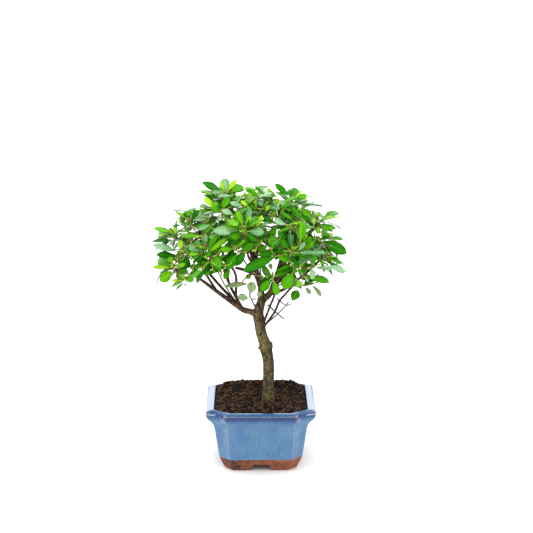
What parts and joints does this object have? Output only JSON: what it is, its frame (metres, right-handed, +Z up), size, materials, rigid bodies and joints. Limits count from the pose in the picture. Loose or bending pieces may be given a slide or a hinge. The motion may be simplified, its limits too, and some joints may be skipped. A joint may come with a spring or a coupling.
{
  "type": "potted azalea bonsai",
  "caption": "Small azalea tree with a domed leafy crown on a bare leaning trunk, growing in a square notched pot of blue glazed stoneware.",
  "frame": {"origin": "middle of the underside of the whole plant's box, on the surface that the pot's feet stand on", "axes": "+Z up along the tree, +X to the right and -Y towards the viewer at the pot's front"},
  "size_m": [0.2304, 0.1944, 0.347],
  "materials": {
    "glazed_stoneware": "gloss",
    "peat_soil": "matte",
    "trunk_bark": "matte",
    "bough_bark": "matte",
    "azalea_leaves": "satin"
  },
  "bodies": {
    "root": {"pot": "glazed_stoneware", "soil": "peat_soil", "trunk": "trunk_bark", "bough_back": "bough_bark", "bough_back_left": "bough_bark", "bough_back_left_low": "bough_bark", "bough_back_low": "bough_bark", "bough_back_right": "bough_bark", "bough_back_right_low": "bough_bark", "bough_centre": "bough_bark", "bough_front": "bough_bark", "bough_front_right": "bough_bark", "bough_left": "bough_bark", "bough_left_inner": "bough_bark", "bough_left_upper": "bough_bark", "bough_left_upright": "bough_bark", "bough_right": "bough_bark", "bough_right_side": "bough_bark", "bough_right_upper": "bough_bark", "bough_top": "bough_bark", "whip_front": "bough_bark", "whip_right": "bough_bark", "leaves_back_left_low": "azalea_leaves", "leaves_back_low": "azalea_leaves", "leaves_back_right_low": "azalea_leaves", "leaves_back_top": "azalea_leaves", "leaves_back_top_left": "azalea_leaves", "leaves_back_top_right": "azalea_leaves", "leaves_crown_middle": "azalea_leaves", "leaves_crown_peak": "azalea_leaves", "leaves_crown_right": "azalea_leaves", "leaves_fork_shoot": "azalea_leaves", "leaves_front": "azalea_leaves", "leaves_front_left": "azalea_leaves", "leaves_front_low": "azalea_leaves", "leaves_front_right": "azalea_leaves", "leaves_left_low": "azalea_leaves", "leaves_left_side": "azalea_leaves", "leaves_left_upper": "azalea_leaves", "leaves_lone_whip": "azalea_leaves", "leaves_right_low": "azalea_leaves", "leaves_right_side": "azalea_leaves", "leaves_right_upper": "azalea_leaves"}
  },
  "joints": []
}
